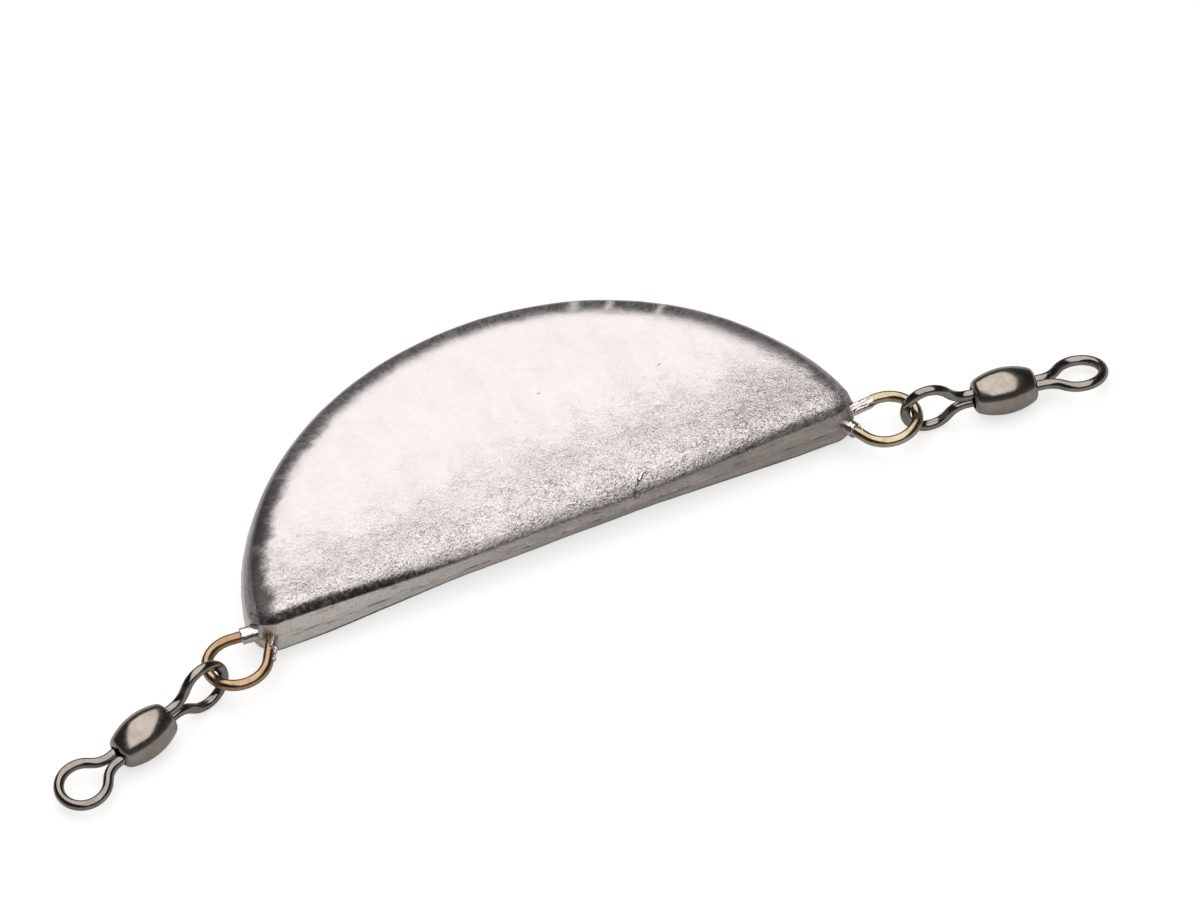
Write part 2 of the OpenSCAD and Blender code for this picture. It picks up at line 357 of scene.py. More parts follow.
# Folds of the skin: points on the casting and the radius
wrinkles = {"curl": ([(11.65, -15.25), (10.9, -15.5), (10.35, -16.0), (9.84, -16.55)], 0.3),
            "chordLine": ([(1.0, -15.7), (2.0, -15.75), (2.9, -16.0), (4.6, -16.75)], 0.18)}
foldShape = {"lumpSize": 0.5, "buried": 0.5, "swell": 0.6, "least": 0.05}

halfLength = casting["length"] / 2
chordY = -casting["height"] / 2
arcRadius = (halfLength ** 2 + casting["height"] ** 2) / (2 * casting["height"])
arcY = chordY + casting["height"] - arcRadius
cornerY = chordY + casting["cornerRadius"]
cornerX = sqrt((arcRadius - casting["cornerRadius"]) ** 2 - (cornerY - arcY) ** 2)
cornerAngle = degrees(atan2(cornerY - arcY, cornerX))
partingZ = casting["thickness"] / 2


def onCircle(centreX, centreY, radius, angle):
    turn = radians(angle)
    return Vector((centreX + radius * cos(turn), centreY + radius * sin(turn)))


def smoothShare(value, start, end):
    share = min(1.0, max(0.0, (value - start) / (end - start)))
    return share * share * (3 - 2 * share)


def blended(first, second, share):
    return {key: first[key] + (second[key] - first[key]) * share for key in first}


def outlineColumns():
    # Each column pairs a place on the straight side with one on the arc, as (point, normal angle, rim)
    middle, columns = (cornerAngle - 90.0) / 2, []
    steps, radius = casting["cornerColumns"], casting["cornerRadius"]
    for index in range(steps):
        share = index / steps
        pair = []
        upper = blended(cornerRim, arcRim, arcStart["share"] * share ** 2)
        for target, rim in ((-90.0, cornerRim), (cornerAngle, upper)):
            angle = middle + (target - middle) * share
            pair.append((onCircle(cornerX, cornerY, radius, angle), angle, rim))
        columns.append(pair)
    for index in range(casting["columns"] + 1):
        share = index / casting["columns"]
        angle = cornerAngle + (180.0 - 2 * cornerAngle) * share
        across = 1 - 2 * share
        # The right end comes first, so across falls from 1 to -1
        narrow = smoothShare(across, *middleRun["right"]) * smoothShare(across, *middleRun["left"])
        gain = smoothShare(min(share, 1 - share), 0.0, arcStart["reach"])
        full = arcStart["share"] + (1 - arcStart["share"]) * gain
        columns.append([(Vector((cornerX * across, chordY)), -90.0, blended(cornerRim, middleRim, narrow)),
                        (onCircle(0.0, arcY, arcRadius, angle), angle, blended(cornerRim, arcRim, full))])
    mirrored = [[(Vector((-point.x, point.y)), 180.0 - angle, rim) for point, angle, rim in pair]
                for pair in columns[:steps]]
    return columns + mirrored[::-1]


def sectionSteps(rim):
    # (inset, height) from the parting line up the wall, over the rim's three bends and on to the flat face
    widths = (rim["level"], rim["shoulder"], rim["edge"])
    inset, height, slope = rim["draft"] + sum(widths), casting["thickness"], 0.0
    bends = [(inset, height)]
    for width, end, rows in zip(widths, bendSlopes, casting["bendRows"]):
        first, last = sin(radians(slope)), sin(radians(end))
        radius = width / (last - first)
        for index in range(1, rows + 1):
            angle = asin(first + (last - first) * index / rows)
            bends.append((inset - radius * (sin(angle) - first),
                          height - radius * (cos(radians(slope)) - cos(angle))))
        inset, height = bends[-1]
        slope = end
    wall = [(rim["draft"] * share, partingZ + (height - partingZ) * share) for share in casting["wallShares"]]
    return wall + bends[::-1]


def columnPoints(pair):
    def side(index, upper):
        point, angle, rim = pair[index]
        ring = []
        for inset, height in sectionSteps(rim):
            place = onCircle(point.x, point.y, -inset, angle)
            ring.append(Vector((place.x, place.y, height if upper else casting["thickness"] - height)))
        return ring

    def across(first, last, rows):
        return [first.lerp(last, index / rows) for index in range(1, rows)]

    chordTop, arcTop = side(0, True), side(1, True)[::-1]
    arcLow, chordLow = side(1, False)[1:], side(0, False)[:0:-1]
    return (chordTop + across(chordTop[-1], arcTop[0], casting["faceRows"]) + arcTop + arcLow
            + across(arcLow[-1], chordLow[0], casting["backRows"]) + chordLow)


def castingBlank():
    rings = [columnPoints(pair) for pair in outlineColumns()]
    count = len(rings[0])
    points = [point * mm for ring in rings for point in ring]
    faces = []
    for first in range(0, len(points) - count, count):
        second = first + count
        for row in range(count):
            after = (row + 1) % count
            faces.append((first + row, first + after, second + after, second + row))
    blank = meshObject("leadBlank", points, faces)
    tidyMesh(blank)
    return blank


def skinTree(material):
    # Shrinks the skin a little: sinks, lumps and pits go inwards, and the mould's seam stays proud
    tree, start, end = newGeometryTree("castSkin", skin)
    place = put(tree, "GeometryNodeInputPosition").outputs[0]

    def wave(label):
        detail, low, high = skinWaves[label]
        scale = calc("DIVIDE", 1.0, start[label + " Size"])
        waves = get("ShaderNodeTexNoise", {"Vector": place, "Scale": scale, "Detail": detail})
        return times(ease(waves, low, high), start[label + " Depth"])

    sinks, lumps, pits = [wave(label) for label in skinWaves]
    height = split(place)[2]
    fromSeam = calc("ABSOLUTE", minus(height, partingZ * mm))
    seamEdge = plus(start["Seam Reach"], times(lumps, 3.0))
    away = ease(minus(fromSeam, seamEdge), 0.0, start["Seam Step"])
    flank = times(start["Seam Depth"], away)
    depth = plus(plus(sinks, lumps), plus(pits, flank))
    finishTree(pushedOut(start["Geometry"], times(depth, -1.0)), end, material)
    return tree


# Bent wires: the cast-in eyes and the swivels' eyes

castEye = {"wire": 1.3, "ring": 3.5, "flankAngle": 35.0, "throat": 1.5, "legY": 0.7, "leg": 3.0,
           "endBend": 1.6, "endAngle": 80.0, "endRun": 0.6, "out": 3.87, "drop": 0.84, "lean": 29.0,
           "skinRadius": 3.3}
# Lead that crept out along the wires: leg, turn of the ring, wall, cover, ragged end and seed
sleeves = {"leftUpper": {"side": -1, "leg": -1, "turn": 0.0, "run": 2.4, "Wall": 0.32 * mm, "Cover": 1.2,
                         "Ragged": 0.05, "Lean": 0.0, "Seed": 3.0},
           "leftLower": {"side": -1, "leg": 1, "turn": 0.0, "run": 2.9, "Wall": 0.22 * mm, "Cover": 0.5,
                         "Ragged": 0.4, "Lean": 0.4, "Seed": 11.0},
           "rightUpper": {"side": 1, "leg": -1, "turn": 24.0, "run": None, "Wall": 0.16 * mm, "Cover": 0.57,
                          "Ragged": 0.4, "Lean": 0.1, "Seed": 5.0},
           "rightLower": {"side": 1, "leg": 1, "turn": 0.0, "run": 2.6, "Wall": 0.24 * mm, "Cover": 0.95,
                          "Ragged": 0.35, "Lean": 0.1, "Seed": 8.0}}
# All sleeves: how the streaks stretch along and round the wire, and how soon the skin ends where it gives out
sleeveSkin = {"sides": 56, "alongStretch": 1.3, "roundStretch": 1.6, "streakScale": 1.3, "lumpSize": 0.6,
              "coverStep": 0.3, "end": 0.97, "endStep": 0.03, "hidden": 0.06, "root": 1.4, "leastWall": 0.75,
              "lumpShare": 0.5}
# Drops of lead in an eye's own frame: place and radius
beads = {"left": [((2.5, 3.4, 0.15), 0.24), ((2.85, 3.15, 0.25), 0.16), ((3.3, 2.85, 0.3), 0.22),
                  ((3.75, 2.5, 0.2), 0.3), ((4.1, 2.2, -0.1), 0.34)],
         "right": [((2.55, 2.2, 0.55), 0.2), ((4.0, -1.9, 0.3), 0.24)]}
swivelEye = {"wire": 1.2, "ring": 2.8, "flankAngle": 47.0, "throat": 2.8, "legY": 0.61,
             "endBend": 1.0, "endAngle": 55.0, "endRun": 0.5, "reach": 8.9}
barrel = {"radius": 2.7, "length": 7.4, "shoulder": 0.95, "land": 1.15, "wall": 0.3, "bore": 1.27, "legEnd": 0.5,
          "rows": 16}
swivelRoll = {"left": -6.0, "right": -14.0}
wireDetail = {"step": 0.14, "sides": 40}


def flankRun(eye):
    angle = radians(eye["flankAngle"])
    return (eye["ring"] * cos(angle) - eye["legY"] - eye["throat"] * (1 - cos(angle))) / sin(angle)


def throatX(eye):
    angle = radians(eye["flankAngle"])
    return (eye["ring"] + eye["throat"]) * sin(angle) + flankRun(eye) * cos(angle)


swivelEye["leg"] = swivelEye["reach"] - throatX(swivelEye) - barrel["length"] / 2 + barrel["legEnd"]


def halfPath(eye):
    # Half of the wire's middle line, from the bends that make it; the ring's middle is the origin
    place, heading = Vector((-eye["ring"], 0.0)), 90.0
    half = [place.copy()]
    # Each bend's turn and radius, or no turn and a straight run's length
    bends = [(-90.0 - eye["flankAngle"], eye["ring"]), (0.0, flankRun(eye)), (eye["flankAngle"], eye["throat"]),
             (0.0, eye["leg"]), (eye["endAngle"], eye["endBend"]), (0.0, eye["endRun"])]
    for sweep, size in bends:
        count = max(2, round((abs(radians(sweep)) * size if sweep else size) / wireDetail["step"]))
        turn = sweep / count
        chord = 2 * size * sin(radians(abs(turn)) / 2) if turn else size / count
        for _ in range(count):
            place = onCircle(place.x, place.y, chord, heading + turn / 2)
            heading += turn
            half.append(place.copy())
    return half


def bentPath(eye):
    half = halfPath(eye)
    return [Vector((point.x, -point.y)) for point in half[:0:-1]] + half


def sleevePath(sleeve):
    # The stretch of a leg that a sleeve covers, from inside the lead to its ragged end
    half = halfPath(castEye)
    flank = radians(castEye["flankAngle"])
    flankEnd = castEye["ring"] * sin(flank) + flankRun(castEye) * cos(flank)
    if sleeve["run"] is None:
        sweep = radians(90.0 + castEye["flankAngle"] - sleeve["turn"])
        first = Vector((-castEye["ring"] * cos(sweep), castEye["ring"] * sin(sweep)))
        begin = min(range(len(half)), key=lambda index: (half[index] - first).length)
    else:
        reach = flankEnd - sleeve["run"] * cos(flank)
        begin = next(index for index, point in enumerate(half) if point.x >= reach)
    finish = next(index for index, point in enumerate(half) if point.x >= flankEnd + sleeveSkin["root"])
    return [Vector((point.x, sleeve["leg"] * point.y)) for point in half[begin:finish]][::-1]


def castEyeFrame(side):
    # Right-hand frame of a cast-in eye; the left one is its mirror image
    along = sqrt(castEye["skinRadius"] ** 2 - castEye["drop"] ** 2) + castEye["out"]
    turned = rotation(-castEye["lean"], "Z")
    place = Vector((cornerX, cornerY, partingZ)) + turned @ Vector((along, -castEye["drop"], 0.0))
    mirrored = Matrix.Diagonal((side, 1, 1, 1))
    return mirrored @ Matrix.Translation(place) @ turned @ rotation(180.0, "Z")


def swivelFrame(name):
    # Barrel's middle and axis come from its joint; the frame's X points outwards
    joint = joints[name + "_barrel_spin"]
    middle, axis = Vector(joint["pos_m"]), Vector(joint["axis"]).normalized()
    if axis.x * middle.x < 0:
        axis.negate()
    across = Vector((0, 0, 1)).cross(axis).normalized()
    turned = Matrix((axis, across, axis.cross(across))).transposed().to_4x4()
    return Matrix.Translation(middle / mm) @ turned


def placed(path, matrix):
    return [(matrix @ Vector((point.x, point.y, 0.0))) * mm for point in path]


def wireTree(material):
    tree, start, end = newGeometryTree("drawnWire", {"Wire Radius": 0.6 * mm, "Sides": wireDetail["sides"]})
    wire = alongPath(start["Geometry"], circle(start["Sides"], start["Wire Radius"]))
    finishTree(wire, end, material)
    return tree


def sleeveTree(material):
    # A skin round the wire whose thickness follows streaky noise; where it is thinner than nothing, wire shows
    tree, start, end = newGeometryTree("leadSleeve", {
        "Wire Radius": castEye["wire"] / 2 * mm, "Wall": 0.22 * mm, "Cover": 1.0, "Ragged": 0.1, "Lean": 0.0,
        "Seed": 1.0, "Step": 0.05 * mm})
    fine = get("GeometryNodeResampleCurve", {"Curve": start["Geometry"], "Length": start["Step"]}, mode="LENGTH")
    kept = put(tree, "GeometryNodeCaptureAttribute")
    kept.capture_items.new("VECTOR", "middle")
    kept.capture_items.new("FLOAT", "along")
    feed(kept, {0: fine, 1: put(tree, "GeometryNodeInputPosition").outputs[0],
                2: put(tree, "GeometryNodeSplineParameter").outputs["Factor"]})
    path, middle, along = kept.outputs[:3]
    tube = alongPath(path, circle(sleeveSkin["sides"], start["Wire Radius"]))
    place = put(tree, "GeometryNodeInputPosition").outputs[0]
    outward = onVectors("NORMALIZE", onVectors("SUBTRACT", place, middle))
    x, y, z = split(outward)
    stretched = plus(times(along, sleeveSkin["alongStretch"]), start["Seed"])
    streaky = joined(*[times(part, sleeveSkin["roundStretch"]) for part in (x, y)], plus(stretched, z))
    streaks = get("ShaderNodeTexNoise", {"Vector": streaky, "Scale": sleeveSkin["streakScale"], "Detail": 3.0})
    lumps = grain(place, sleeveSkin["lumpSize"])
    leaning = times(minus(x, y), start["Lean"])
    cover = plus(plus(streaks, leaning), minus(start["Cover"], 1.0))
    skinned = ease(cover, 0.0, sleeveSkin["coverStep"])
    edge = minus(sleeveSkin["end"], times(start["Ragged"], streaks))
    tip = ease(minus(edge, along), 0.0, sleeveSkin["endStep"])
    wall = times(start["Wall"], plus(sleeveSkin["leastWall"], times(lumps, sleeveSkin["lumpShare"])))
    hidden = times(start["Wire Radius"], sleeveSkin["hidden"])
    share = times(skinned, tip)
    rise = minus(times(share, plus(wall, hidden)), hidden)
    radius = plus(start["Wire Radius"], rise)
    shell = onVectors("ADD", middle, scaled(outward, radius))
    moved = get("GeometryNodeSetPosition", {"Geometry": tube, "Position": shell})
    finishTree(moved, end, material)
    return tree


def beadTree(material):
    # A lumpy drop of lead on every point; the point's radius is the drop's
    tree, start, end = newGeometryTree("leadDrops", {"Lump Depth": 0.12 * mm, "Lump Size": 0.3 * mm})
    drop = put(tree, "GeometryNodeMeshIcoSphere", {"Radius": 1.0, "Subdivisions": 4}).outputs[0]
    size = put(tree, "GeometryNodeInputNamedAttribute", {"Name": "dropRadius"}, data_type="FLOAT").outputs[0]
    drops = get("GeometryNodeInstanceOnPoints", {"Points": start["Geometry"], "Instance": drop, "Scale": size})
    real = get("GeometryNodeRealizeInstances", {"Geometry": drops})
    scale = calc("DIVIDE", 1.0, start["Lump Size"])
    lumps = get("ShaderNodeTexNoise", {"Scale": scale, "Detail": 2.0})
    depth = times(minus(lumps, 0.5), start["Lump Depth"])
    finishTree(pushedOut(real, depth), end, material)
    return tree


def wrinkleTree(material):
    # A fold along a path, fat in the middle and fading out at both ends
    tree, start, end = newGeometryTree("coldFold", {"Fold Radius": 0.1 * mm, "Step": 0.05 * mm, "Sides": 14})
    smooth = get("GeometryNodeCurveSplineType", {"Curve": start["Geometry"]}, spline_type="CATMULL_ROM")
    fine = get("GeometryNodeResampleCurve", {"Curve": smooth, "Length": start["Step"]}, mode="LENGTH")
    factor = put(tree, "GeometryNodeSplineParameter").outputs["Factor"]
    swell = calc("POWER", calc("SINE", times(factor, pi)), foldShape["swell"])
    rough = put(tree, "ShaderNodeTexNoise", {"Scale": 1.0 / (foldShape["lumpSize"] * mm), "Detail": 2.0}).outputs[0]
    radius = plus(times(swell, plus(rough, 0.5)), foldShape["least"])
    sized = get("GeometryNodeSetCurveRadius", {"Curve": fine, "Radius": radius})
    fold = alongPath(sized, circle(start["Sides"], start["Fold Radius"]), Scale=radius)
    finishTree(fold, end, material)
    return tree


# Materials

# Sizes, insets and heights are millimetres, and places across the casting run from -1 at the left end to 1 at
# the right. Numbers in brackets are the start and end of an ease, and its low and high where they aren't 0 and 1.
# Among the lead's colours: the rim colour is partly the rims' darker tarnish and partly their painted dark
# reflection, and also makes stains and streaks; the near-black colour is painted shade and painted dark reflection
# only; the duller face colour is partly painted shade; the light wall colour and the darker wall colours give the
# wall's painted reflection, light at its left end and darker at its right, and the light one also makes light streaks
leadLooks = {"face": (0.68, 0.642, 0.65, 1.0), "tiredAndShaded": (0.67, 0.62, 0.615, 1.0), "rim": (0.14, 0.134, 0.127, 1.0),
             "fleck": (0.96, 0.93, 0.91, 1.0), "paintedShade": (0.045, 0.04, 0.037, 1.0),
             "wall": (0.92, 0.858, 0.82, 1.0), "shadedWall": (0.62, 0.54, 0.52, 1.0),
             "greenWall": (0.51, 0.47, 0.435, 1.0), "pit": (0.13, 0.12, 0.115, 1.0),
             "smooth": 0.26, "rough": 0.32, "fresh": 0.07, "metallic": 0.96}
# Ragged and gloss are noises: size, detail and roughness
leadGrain = {"size": 0.2, "coarseSize": 0.52, "depth": 0.15, "coarseShare": 0.8, "dullBump": 0.85, "leastBump": 0.12,
             "ragged": (0.32, 4.0, 0.7), "gloss": (0.8, 4.0, 0.6), "glossShare": 0.08, "speck": (0.45, 0.33),
             "leastSpeck": 0.05, "fleck": (0.5, 0.62), "fleckShare": 0.75}
# Where the face turns duller, grainier and painted darker as painted shade: how it grows across and towards the
# straight side, its clouds, its range and how much of the duller colour it gives
dullingAndShade = {"across": 0.07, "down": 34.0, "cloudSize": 4.0, "cloud": 0.5, "range": (0.25, 1.05), "share": 0.9}
stains = {"stretch": (1.0, 0.45, 1.0), "size": 3.2, "share": (0.42, 0.68, 0.0, 0.07)}
# Creases painted as lines of shade, each with a painted highlight beside it: stretch, sizes, patches, how much the
# duller places have, and each line's level, width and colour
creaseShading = {"stretch": (0.8, 1.25, 1.0), "size": 0.6, "patchSize": 1.1, "patch": (0.42, 0.56), "dullAndShaded": 0.65,
           "least": 0.06, "lines": [(0.5, 0.08, "pit"), (0.6, 0.06, "fleck")]}
# The arc's rim: partly darker tarnish and partly painted dark reflection, painted near black towards the left end,
# with a light outer edge, washes and combed streaks
arcShade = {"inset": (4.4, 2.7, 0.0, 0.92), "lightEdge": (1.35, 1.9, 0.15, 1.0), "ragged": 0.8, "patchSize": 2.6,
            "patchy": 3.0, "rightEnd": (0.45, 0.85, 0.0, 1.0), "combSize": 0.36, "combStretch": 0.3,
            "combed": (0.4, 0.68, 0.0, 0.4), "washSize": 3.4, "washed": (0.56, 0.68), "washShare": 0.4,
            "blackEnd": (-0.55, -0.85, 0.0, 0.85), "rough": 0.14}
# Matt light bands across the arc's rim: angle round the arc's middle and width
rimBands = {"bands": [(67.9, 1.3), (61.1, 0.9), (51.2, 0.8)], "ragged": 0.7, "outer": (0.4, 1.0, 0.0, 0.75),
            "inner": (4.4, 3.0), "rough": 0.4}
# The straight side's rim of painted dark reflection: its width at both ends, softness, raggedness, strength across
# and mottling
chordShade = {"leftWidth": (-0.2, -0.92, 0.68, 1.3), "rightWidth": (0.4, 0.9, 0.0, 0.4), "soft": 0.2, "ragged": 0.45,
              "paintedShade": (-0.1, -0.6, 0.7, 1.0), "mottle": (0.42, 0.66), "mottled": 0.16}
# The wall: where it begins under the rims, its streaks and seam, and the fade of its painted reflection from light at
# the left end to darker at the right
wallShade = {"arcTop": 1.95, "chordTop": 2.1, "middleDrop": 0.95, "soft": 0.15, "ragged": 0.12,
             "stretch": (0.25, 1.0, 1.3), "streakSize": 0.8, "streaked": 0.5, "reflectionFade": (-0.55, 0.55), "tingeSize": 1.6,
             "tinge": (0.42, 0.6), "darkStreak": (0.45, 0.25, 0.0, 0.6), "lightStreak": (0.55, 0.75, 0.0, 0.5),
             "speck": 0.35, "seam": (0.16, 0.05), "seamRagged": 0.05, "seamSize": 0.6, "seamBreaks": (0.46, 0.6),
             "seamShare": 0.8}
# Painted shade inside the nicks' hollows
nickShade = [((9.55, -16.95, 4.9), 0.55), ((23.5, -17.0, 5.4), 0.45)]  # place and reach of the dark


def swing(noise, width):
    # Noise about nothing, width wide
    return times(minus(noise, 0.5), width)


def castPlaces(place):
    # What the looks of the casting go by: places, insets from both sides of the outline, and ragged noise
    x, y, z = split(place)
    fromArc = onVectors("SUBTRACT", place, (0, arcY * mm, 0))
    flat = onVectors("MULTIPLY", fromArc, (1, 1, 0))
    reach = onVectors("LENGTH", flat, result="Value")
    spokes = split(flat)
    turn = calc("ARCTAN2", spokes[1], spokes[0])
    across = calc("DIVIDE", x, halfLength * mm)
    ragged = swing(grain(place, *leadGrain["ragged"]), 2.0)
    patchy = swing(grain(place, arcShade["patchSize"]), arcShade["patchy"])
    inset = calc("DIVIDE", minus(arcRadius * mm, reach), mm)
    arcInset = plus(inset, plus(times(ragged, arcShade["ragged"]), patchy))
    fromChord = calc("DIVIDE", minus(y, chordY * mm), mm)
    radial = joined(times(turn, arcRadius * mm), times(reach, arcShade["combStretch"]))
    return SimpleNamespace(place=place, across=across, y=y, turn=turn, radial=radial, ragged=ragged, inset=inset,
                           height=calc("ABSOLUTE", minus(z, partingZ * mm)),
                           arcInset=plus(arcInset, ease(across, *arcShade["rightEnd"])),
                           chordInset=plus(fromChord, times(ragged, chordShade["ragged"])))


def dullAndShadedMask(at):
    # Duller and grainier towards the straight side and a little towards the right, in clouds; the same mask paints
    # the face darker there, as painted shade where the reflected softbox fades
    drift = plus(times(at.across, dullingAndShade["across"]), times(at.y, -dullingAndShade["down"]))
    cloud = times(grain(at.place, dullingAndShade["cloudSize"], 4.0, 0.6), dullingAndShade["cloud"])
    return ease(plus(drift, cloud), *dullingAndShade["range"])


def arcRimTarnishAndShadeMask(at):
    # Partly darker tarnish and partly painted dark reflection; the outermost edge stays light, and the rest is washed
    # out here and there
    shaded = times(ease(at.arcInset, *arcShade["inset"]), ease(at.inset, *arcShade["lightEdge"]))
    washed = ease(grain(at.radial, arcShade["washSize"], 3.0, 0.6), *arcShade["washed"])
    return times(shaded, minus(1.0, times(washed, arcShade["washShare"])))


def bandMask(at):
    banded = 0.0
    for angle, width in rimBands["bands"]:
        aside = times(minus(at.turn, radians(angle)), arcRadius)
        frayed = calc("ABSOLUTE", plus(aside, times(at.ragged, rimBands["ragged"])))
        banded = calc("MAXIMUM", banded, ease(frayed, width, 0.0))
    banded = times(banded, ease(at.inset, *rimBands["outer"]))
    return times(banded, ease(at.inset, *rimBands["inner"]))


def chordRimShadeMask(at):
    # Painted dark reflection along the straight side's rim, wider at both ends and strongest towards the left
    width = plus(ease(at.across, *chordShade["leftWidth"]), ease(at.across, *chordShade["rightWidth"]))
    rim = ease(minus(at.chordInset, width), chordShade["soft"], -chordShade["soft"])
    return times(rim, ease(at.across, *chordShade["paintedShade"]))


def wallMask(at):
    # The wall's upper edge lies lower in the middle of the straight side
    middle = times(ease(at.across, *middleRun["right"]), ease(at.across, *middleRun["left"]))
    chordTop = plus(times(middle, -wallShade["middleDrop"] * mm), wallShade["chordTop"] * mm)
    onChord = ease(minus(at.arcInset, at.chordInset), -1.0, 1.0)
    arcTop = wallShade["arcTop"] * mm
    top = plus(times(onChord, minus(chordTop, arcTop)), arcTop)
    edge = plus(at.height, times(at.ragged, wallShade["ragged"] * mm))
    return ease(minus(edge, top), wallShade["soft"] * mm, -wallShade["soft"] * mm)


def grainColour(place, dullAndShaded):
    # The lead's colour with dark specks and light flecks, and the specks themselves
    # Towards the straight side the face takes the duller colour and more dark specks; this darkening is partly
    # painted shade
    colour = tint(times(dullAndShaded, dullingAndShade["share"]), leadLooks["face"], leadLooks["tiredAndShaded"])
    dots = grain(place, leadGrain["size"], 2.0, 0.6)
    speck = ease(dots, *leadGrain["speck"])
    colour = tint(times(speck, plus(dullAndShaded, leadGrain["leastSpeck"])), colour, leadLooks["pit"])
    fleck = times(ease(dots, *leadGrain["fleck"]), times(dullAndShaded, leadGrain["fleckShare"]))
    return tint(fleck, colour, leadLooks["fleck"]), speck


def creaseShadedColour(at, dullAndShaded, colour):
    # Faint stains, then short creases: lines of painted shade where a noise passes a level, each with a lit one
    # beside it as a painted highlight
    stain = grain(onVectors("MULTIPLY", at.place, stains["stretch"]), stains["size"], 5.0, 0.62)
    colour = tint(ease(stain, *stains["share"]), colour, leadLooks["rim"])
    contour = grain(onVectors("MULTIPLY", at.place, creaseShading["stretch"]), creaseShading["size"], 2.0, 0.55)
    broken = times(ease(grain(at.place, creaseShading["patchSize"]), *creaseShading["patch"]),
                   plus(times(dullAndShaded, creaseShading["dullAndShaded"]), creaseShading["least"]))
    for level, reach, look in creaseShading["lines"]:
        line = ease(calc("ABSOLUTE", minus(contour, level)), reach, 0.0)
        colour = tint(times(line, broken), colour, leadLooks[look])
    return colour


def arcRimTarnishAndShadeColour(at):
    # Light combed streaks in the rim, which is painted near black towards the left end as dark reflection
    combed = ease(grain(at.radial, arcShade["combSize"], 3.0, 0.6), *arcShade["combed"])
    colour = tint(combed, leadLooks["rim"], leadLooks["tiredAndShaded"])
    return tint(ease(at.across, *arcShade["blackEnd"]), colour, leadLooks["paintedShade"])


def chordRimShadeColour(place):
    # Painted near-black shade, mottled a little with the duller face colour
    mottled = ease(grain(place, leadGrain["coarseSize"], 3.0, 0.6), *chordShade["mottle"])
    return tint(times(mottled, chordShade["mottled"]), leadLooks["paintedShade"], leadLooks["tiredAndShaded"])


def wallColour(at, speck):
    # Painted reflection: light at the left end and darker at the right, where the wall mirrors shaded floor; with
    # streaks and the seam along it
    along = onVectors("MULTIPLY", at.place, wallShade["stretch"])
    streak = grain(along, wallShade["streakSize"], 4.0, 0.65)
    tinge = grain(along, wallShade["tingeSize"], 3.0)
    breaks = grain(along, wallShade["seamSize"], 3.0)
    tinged = tint(ease(tinge, *wallShade["tinge"]), leadLooks["greenWall"], leadLooks["shadedWall"])
    reflectionFade = ease(plus(at.across, times(streak, wallShade["streaked"])), *wallShade["reflectionFade"])
    colour = tint(reflectionFade, leadLooks["wall"], tinged)
    colour = tint(ease(streak, *wallShade["darkStreak"]), colour, leadLooks["rim"])
    colour = tint(ease(streak, *wallShade["lightStreak"]), colour, leadLooks["wall"])
    colour = tint(times(speck, wallShade["speck"]), colour, leadLooks["rim"])
    fromSeam = plus(at.height, times(at.ragged, wallShade["seamRagged"] * mm))
    seam = times(ease(fromSeam, *[height * mm for height in wallShade["seam"]]),
                 ease(breaks, *wallShade["seamBreaks"]))
    return tint(times(seam, wallShade["seamShare"]), colour, leadLooks["rim"])


def nickShadedColour(place, colour):
    # Painted shade darkens the inside of each nick
    for middle, reach in nickShade:
        away = onVectors("DISTANCE", place, Vector(middle) * mm, result="Value")
        colour = tint(ease(away, reach * mm, reach * 0.5 * mm), colour, leadLooks["paintedShade"])
    return colour


def leadSurface(shader, place, dullAndShaded, colour, smooth, rougher=()):
    # Gloss and grain of all lead; rougher holds masks and how much roughness each adds
    rough = plus(ease(dullAndShaded, 0.0, 1.0, smooth, leadLooks["rough"]),
                 times(grain(place, *leadGrain["gloss"]), leadGrain["glossShare"]))
    for mask, share in rougher:
        rough = plus(rough, times(mask, share))
    rise = plus(grain(place, leadGrain["size"], 2.0, 0.6),
                times(grain(place, leadGrain["coarseSize"]), leadGrain["coarseShare"]))
    strong = plus(times(dullAndShaded, leadGrain["dullBump"]), leadGrain["leastBump"])
    bump = get("ShaderNodeBump", {"Height": times(rise, strong), "Strength": 1.0,
                                  "Distance": leadGrain["depth"] * mm})
    feed(shader, {"Base Color": colour, "Roughness": rough, "Normal": bump, "Metallic": leadLooks["metallic"]})


def castLeadMaterial():
    # Bright away from the straight side, grainy, dull and painted darker towards it; with painted dark reflection on
    # the rims, a painted reflection on the wall and painted shade in the nicks
    material, tree, shader = newMaterial("castLead")
    place = put(tree, "ShaderNodeTexCoord").outputs["Object"]
    at = castPlaces(place)
    dullAndShaded, arcRim, bands = dullAndShadedMask(at), arcRimTarnishAndShadeMask(at), bandMask(at)
    colour, speck = grainColour(place, dullAndShaded)
    colour = creaseShadedColour(at, dullAndShaded, colour)
    colour = tint(arcRim, colour, arcRimTarnishAndShadeColour(at))
    colour = tint(bands, colour, leadLooks["fleck"])
    colour = tint(chordRimShadeMask(at), colour, chordRimShadeColour(place))
    colour = tint(wallMask(at), colour, wallColour(at, speck))
    colour = nickShadedColour(place, colour)
    leadSurface(shader, place, dullAndShaded, colour, leadLooks["smooth"],
                [(arcRim, arcShade["rough"]), (bands, rimBands["rough"])])
    return material


def freshLeadMaterial():
    # Lead that crept out of the mould: shiny, with no dull places
    material, tree, shader = newMaterial("freshLead")
    place = put(tree, "ShaderNodeTexCoord").outputs["Object"]
    dullAndShaded = put(tree, "ShaderNodeValue").outputs[0]
    dullAndShaded.default_value = 0.0
    colour, _ = grainColour(place, dullAndShaded)
    leadSurface(shader, place, dullAndShaded, colour, leadLooks["fresh"])
    return material


